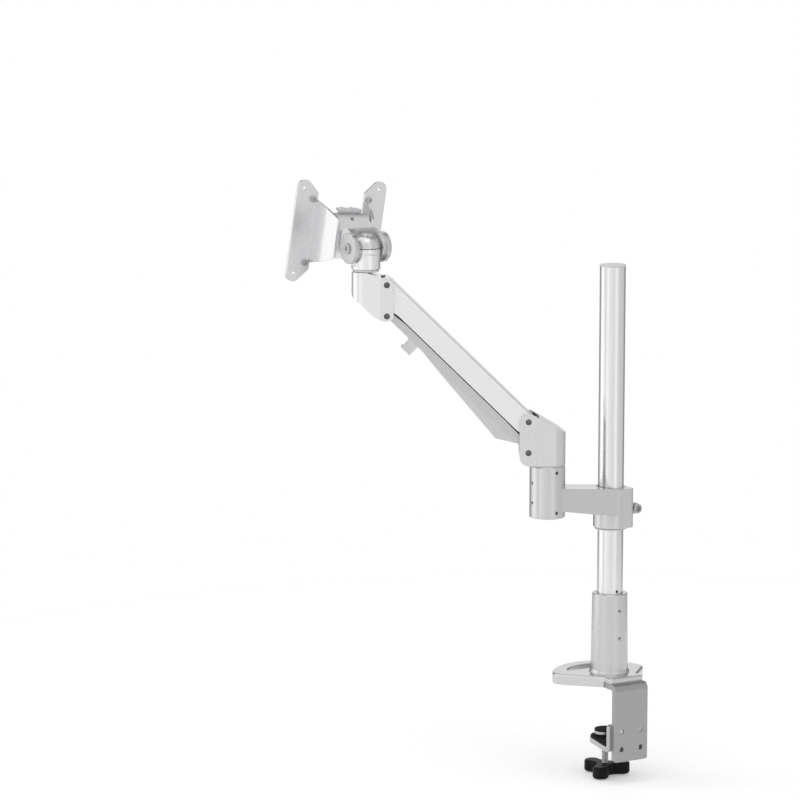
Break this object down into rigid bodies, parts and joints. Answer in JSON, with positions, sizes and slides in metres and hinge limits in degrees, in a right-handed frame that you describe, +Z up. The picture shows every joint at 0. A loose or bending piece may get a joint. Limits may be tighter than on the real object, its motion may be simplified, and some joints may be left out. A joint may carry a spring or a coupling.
{
  "type": "monitor arm",
  "caption": "Desk-clamp monitor arm on a round pole: height-adjustable bracket, gas-spring parallelogram arm, swivelling and tilting head with a screen bracket.",
  "frame": {"origin": "pole axis at the underside of the base, on the desk top", "axes": "+Z up along the pole; +Y away from the user, square to the desk edge the clamp grips; +X along the pole bracket at rest"},
  "size_m": [0.3832, 0.2339, 0.7025],
  "materials": {
    "silver_cast": "satin silver paint",
    "silver_plate": "satin silver paint",
    "pole_silver": "satin anodised",
    "bright_steel": "bright plated",
    "dark_steel": "black",
    "black_rubber": "matt",
    "black_plastic": "fine grain",
    "grey_plastic": "satin"
  },
  "bodies": {
    "base": {"base_disc": "silver_cast", "base_pad": "black_rubber", "clamp_plate": "silver_plate", "pole_socket": "silver_cast", "socket_grubs": "bright_steel", "pole": "pole_silver", "pole_plug": "grey_plastic", "pole_bolt": "bright_steel", "pole_cap": "grey_plastic", "jaw_bracket": "silver_plate", "jaw_pad": "black_rubber", "jaw_screws": "bright_steel"},
    "foot": {"pressure_foot": "bright_steel", "foot_pad": "black_rubber"},
    "spindle": {"clamp_screw": "bright_steel", "clamp_knob": "black_plastic"},
    "carrier": {"pole_bush": "grey_plastic"},
    "bracket": {"pole_bracket": "silver_cast", "barrel_grubs": "bright_steel", "clamp_bolt": "bright_steel", "clamp_nut": "bright_steel", "barrel_bush": "grey_plastic"},
    "elbow": {"lower_elbow": "silver_cast", "swivel_shaft": "bright_steel", "lower_pins": "bright_steel", "anchor_pin": "bright_steel"},
    "beam": {"beam": "silver_cast", "stop_screw": "dark_steel", "spring_pin": "bright_steel"},
    "link": {"lower_link": "silver_cast", "cable_clip": "grey_plastic"},
    "cylinder": {"spring_cylinder": "dark_steel"},
    "rod": {"spring_rod": "bright_steel"},
    "wrist": {"upper_elbow": "silver_cast", "upper_pins": "bright_steel"},
    "head": {"head_post": "bright_steel", "neck_ring": "grey_plastic", "head_body": "silver_cast", "head_cap": "silver_cast", "cap_screws": "bright_steel"},
    "yoke": {"tilt_yoke": "silver_cast", "tilt_axle": "bright_steel", "tilt_discs": "silver_cast", "axle_screws": "bright_steel", "hub_bolt": "bright_steel", "hub_nut": "bright_steel"},
    "screen": {"screen_bracket": "silver_plate", "hub_grub": "bright_steel", "release_tab": "grey_plastic", "screen_screws": "bright_steel"}
  },
  "joints": [
    {"name": "foot_travel", "type": "slide", "parent": "base", "child": "foot", "axis": [0, 0, 1], "range_m": [-0.0015, 0.0241]},
    {"name": "spindle_turn", "type": "hinge", "parent": "foot", "child": "spindle", "pos_m": [0, -0.007, -0.064], "axis": [0, 0, 1], "range_deg": [-435, 6944]},
    {"name": "height", "type": "slide", "parent": "base", "child": "carrier", "axis": [0, 0, 1], "range_m": [-0.0755, 0.24]},
    {"name": "bracket_swing", "type": "hinge", "parent": "carrier", "child": "bracket", "pos_m": [0, 0, 0.184], "axis": [0, 0, 1], "range_deg": [-180, 180]},
    {"name": "arm_swing", "type": "hinge", "parent": "bracket", "child": "elbow", "pos_m": [0.087, 0, 0.2653], "axis": [0, 0, 1], "range_deg": [-120, 180]},
    {"name": "arm_lift", "type": "hinge", "parent": "elbow", "child": "beam", "pos_m": [0.10631, -0.01115, 0.3164], "axis": [-0.5, -0.866, 0], "range_deg": [-74, 3.5]},
    {"name": "link_lift", "type": "hinge", "parent": "elbow", "child": "link", "pos_m": [0.10631, -0.01115, 0.2808], "axis": [-0.5, -0.866, 0], "range_deg": [-74.1, 3.6]},
    {"name": "spring_swing", "type": "hinge", "parent": "elbow", "child": "cylinder", "pos_m": [0.10631, -0.01115, 0.3034], "axis": [-0.5, -0.866, 0], "range_deg": [-72.5, 3.5]},
    {"name": "spring_stroke", "type": "slide", "parent": "cylinder", "child": "rod", "axis": [0.6023, -0.3477, 0.7186], "range_m": [-0.0153, 0.0008]},
    {"name": "wrist_level", "type": "hinge", "parent": "beam", "child": "wrist", "pos_m": [0.24601, -0.0918, 0.47326], "axis": [-0.5, -0.866, 0], "range_deg": [-3.6, 74.1]},
    {"name": "head_swing", "type": "hinge", "parent": "wrist", "child": "head", "pos_m": [0.26679, -0.1038, 0.48666], "axis": [0, 0, 1], "range_deg": [-33, 147]},
    {"name": "tilt", "type": "hinge", "parent": "head", "child": "yoke", "pos_m": [0.26679, -0.1038, 0.51406], "axis": [-0.9994, -0.0349, 0], "range_deg": [-28, 41]},
    {"name": "screen_turn", "type": "hinge", "parent": "yoke", "child": "screen", "pos_m": [0.26678, -0.10336, 0.51703], "axis": [-0.0345, 0.9884, -0.1478], "range_deg": [-86, 94]}
  ],
  "couplings": [
    {"joint": "spindle_turn", "follows": "foot_travel", "rad_per_m": 5026.5},
    {"joint": "link_lift", "follows": "arm_lift", "ratio": 1},
    {"joint": "wrist_level", "follows": "arm_lift", "ratio": -1},
    {"joint": "spring_swing", "follows": "arm_lift", "ratio": 0.978},
    {"joint": "spring_stroke", "follows": "arm_lift", "m_per_rad": 0.0116}
  ]
}
